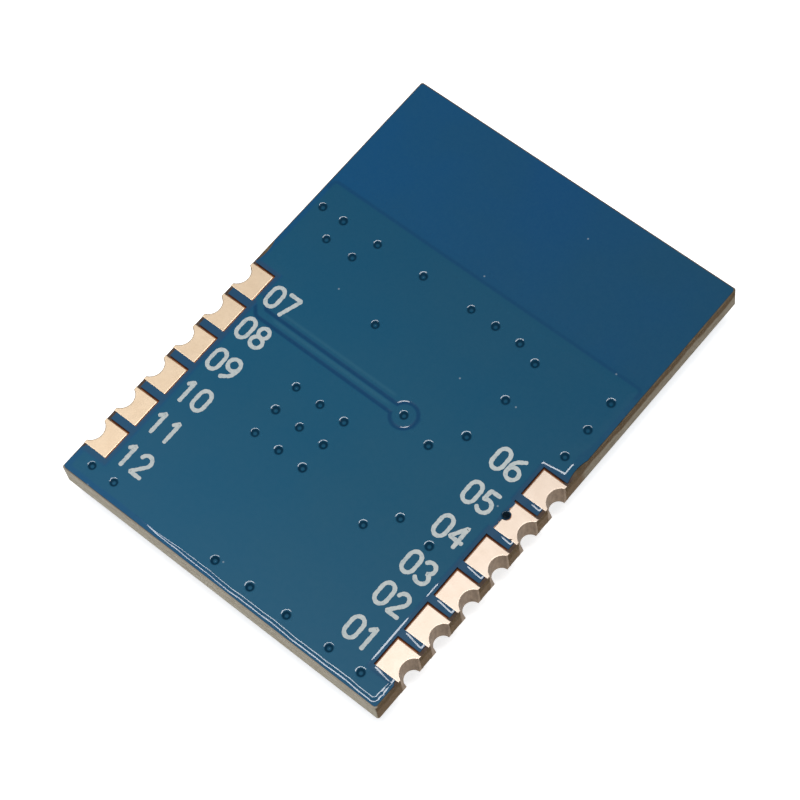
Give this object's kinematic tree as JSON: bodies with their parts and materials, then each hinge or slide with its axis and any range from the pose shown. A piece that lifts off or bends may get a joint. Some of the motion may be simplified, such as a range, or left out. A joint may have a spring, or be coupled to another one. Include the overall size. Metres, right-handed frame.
{
  "type": "bluetooth module",
  "caption": "Small castellated radio circuit board: plated half-hole edge terminals, tented vias and ground pour on the solder side, chip, crystals and printed antenna on the other.",
  "frame": {"origin": "centre of the board's outline in X and Y, at the lowest faces of the component side, on which the module rests", "axes": "+Z out of the solder side, +Y towards the antenna end, +X across the two rows of terminals"},
  "size_m": [0.0118, 0.016, 0.0018],
  "materials": {
    "laminate": "rough cut glass-fibre laminate",
    "copper": "bare copper foil",
    "solder_mask": "smooth blue lacquer",
    "gold_plating": "satin pale gold over nickel",
    "mould_compound": "fine matte",
    "tinned_leads": "satin tin",
    "crystal_ceramic": "matte fired ceramic",
    "crystal_lid_metal": "satin",
    "ferrite": "matte",
    "coil_ceramic": "matte",
    "capacitor_ceramic": "satin",
    "resistor_ceramic": "matte",
    "resistor_film": "gloss",
    "end_metal": "satin tin",
    "solder": "bright solder"
  },
  "bodies": {
    "root": {"antenna_strip": "copper", "back_copper": "copper", "back_mask": "solder_mask", "capacitor_1_body": "capacitor_ceramic", "capacitor_1_ends": "end_metal", "capacitor_2_body": "capacitor_ceramic", "capacitor_2_ends": "end_metal", "capacitor_3_body": "capacitor_ceramic", "capacitor_3_ends": "end_metal", "capacitor_4_body": "capacitor_ceramic", "capacitor_4_ends": "end_metal", "capacitor_5_body": "capacitor_ceramic", "capacitor_5_ends": "end_metal", "capacitor_6_body": "capacitor_ceramic", "capacitor_6_ends": "end_metal", "capacitor_7_body": "capacitor_ceramic", "capacitor_7_ends": "end_metal", "capacitor_8_body": "capacitor_ceramic", "capacitor_8_ends": "end_metal", "chip_body": "mould_compound", "chip_heat_pad": "tinned_leads", "chip_leads": "tinned_leads", "core": "laminate", "front_copper": "copper", "front_mask": "solder_mask", "main_crystal_base": "crystal_ceramic", "main_crystal_lid": "crystal_lid_metal", "main_crystal_pads": "gold_plating", "radio_coil_1_body": "coil_ceramic", "radio_coil_1_ends": "end_metal", "radio_coil_2_body": "coil_ceramic", "radio_coil_2_ends": "end_metal", "resistor_1_body": "resistor_ceramic", "resistor_1_ends": "end_metal", "resistor_1_film": "resistor_film", "resistor_2_body": "resistor_ceramic", "resistor_2_ends": "end_metal", "resistor_2_film": "resistor_film", "sleep_crystal_base": "crystal_ceramic", "sleep_crystal_lid": "crystal_lid_metal", "sleep_crystal_pads": "gold_plating", "solder_joints": "solder", "supply_coil_body": "ferrite", "supply_coil_ends": "end_metal", "terminal_1": "gold_plating", "terminal_10": "gold_plating", "terminal_11": "gold_plating", "terminal_12": "gold_plating", "terminal_2": "gold_plating", "terminal_3": "gold_plating", "terminal_4": "gold_plating", "terminal_5": "gold_plating", "terminal_6": "gold_plating", "terminal_7": "gold_plating", "terminal_8": "gold_plating", "terminal_9": "gold_plating", "via_barrels": "copper"}
  },
  "joints": []
}
